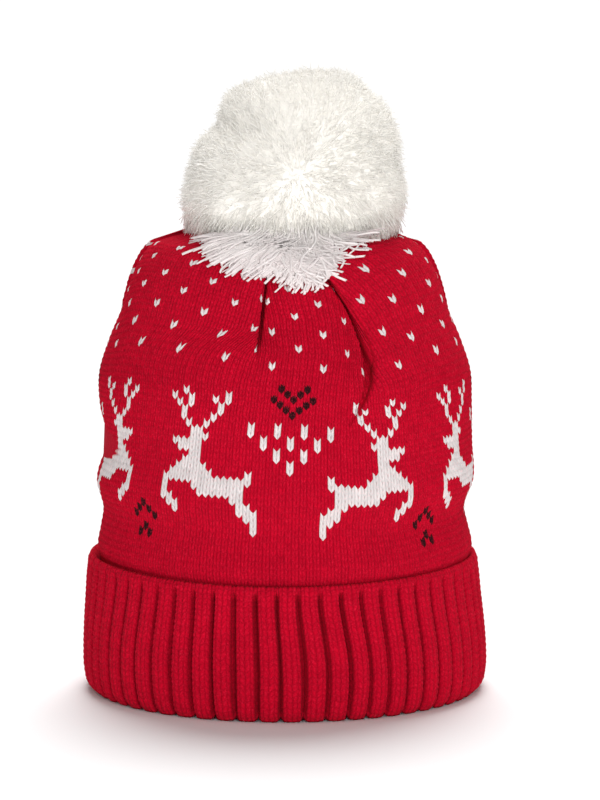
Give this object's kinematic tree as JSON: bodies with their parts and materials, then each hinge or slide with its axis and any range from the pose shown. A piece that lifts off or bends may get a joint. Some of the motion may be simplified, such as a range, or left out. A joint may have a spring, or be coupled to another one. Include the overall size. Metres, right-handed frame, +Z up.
{
  "type": "knitted bobble hat",
  "caption": "Red knitted bobble hat with a ribbed turn-up cuff, a pleated jersey crown patterned with white reindeer and dots, and a big white yarn pompom; worn on the head.",
  "frame": {"origin": "middle of the rim, on the plane that the hat rests on", "axes": "+Z up through the crown to the pompom, -Y to the front of the hat, +X to the viewer's right"},
  "size_m": [0.1872, 0.1872, 0.2905],
  "materials": {
    "red_rib": "ribbed knit",
    "red_jersey": "patterned jersey knit",
    "white_yarn": "cut yarn",
    "tie_yarn": "yarn"
  },
  "bodies": {
    "root": {"cuff": "red_rib", "crown": "red_jersey", "pompom": "white_yarn", "pompom_tie": "tie_yarn"}
  },
  "joints": []
}
